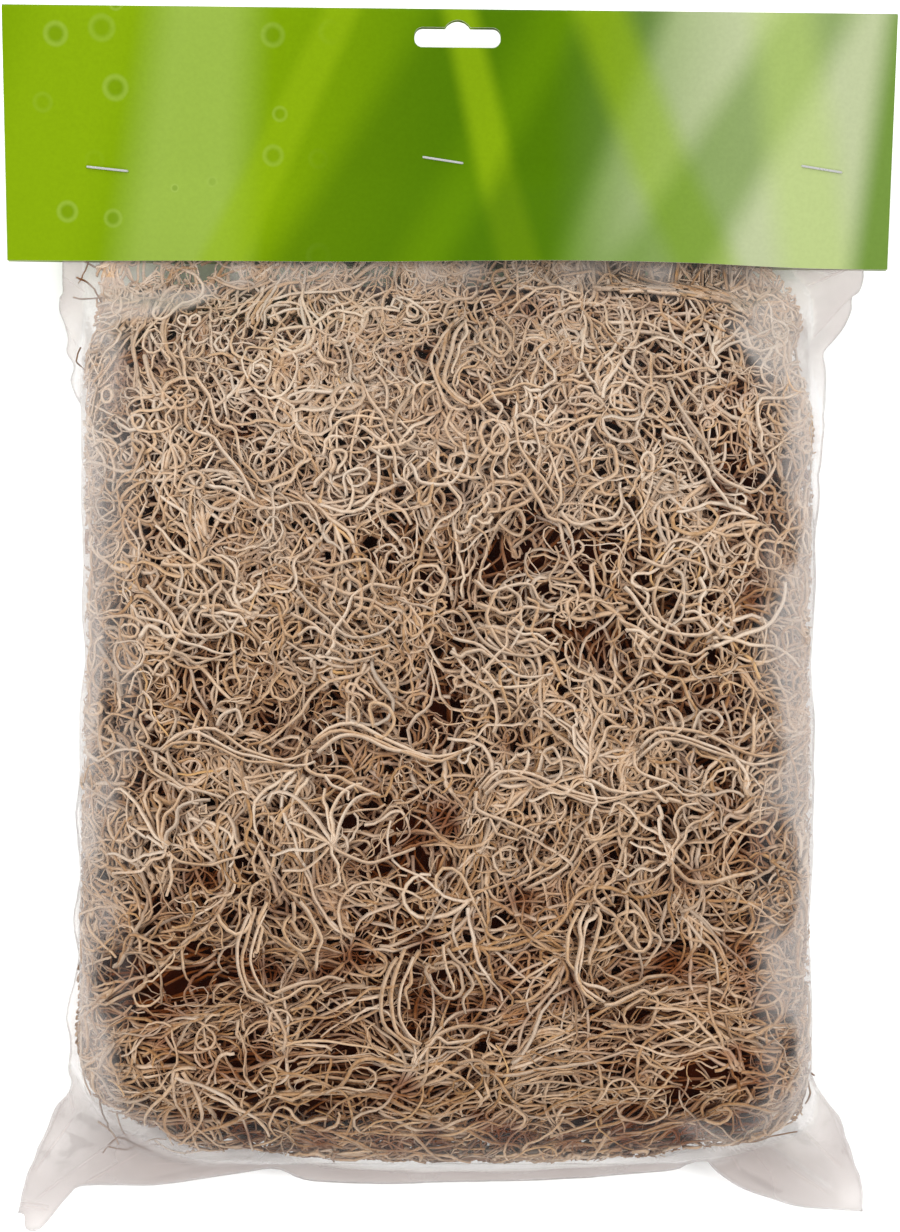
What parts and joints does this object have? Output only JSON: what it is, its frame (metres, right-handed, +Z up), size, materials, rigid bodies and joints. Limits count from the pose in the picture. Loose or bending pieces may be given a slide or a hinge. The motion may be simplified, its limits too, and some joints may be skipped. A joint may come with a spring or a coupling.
{
  "type": "bagged spanish moss bunch",
  "caption": "Bunch of dried Spanish moss in a clear film pillow bag, pinched in a folded, stapled header card with a hanging slot, lying on its back.",
  "frame": {"origin": "on the floor, under the middle of the pack's bounding box", "axes": "+X across the pack to the right seen from its front, +Y along the pack towards the header card's fold, +Z up, out of the pack's front"},
  "size_m": [0.2638, 0.3676, 0.06],
  "materials": {
    "card": "satin",
    "film": "gloss",
    "moss": "matte",
    "staple_wire": "satin"
  },
  "bodies": {
    "root": {"header_card": "card", "film_bag": "film", "moss_tangle": "moss", "staple_left": "staple_wire", "staple_middle": "staple_wire", "staple_right": "staple_wire"}
  },
  "joints": []
}
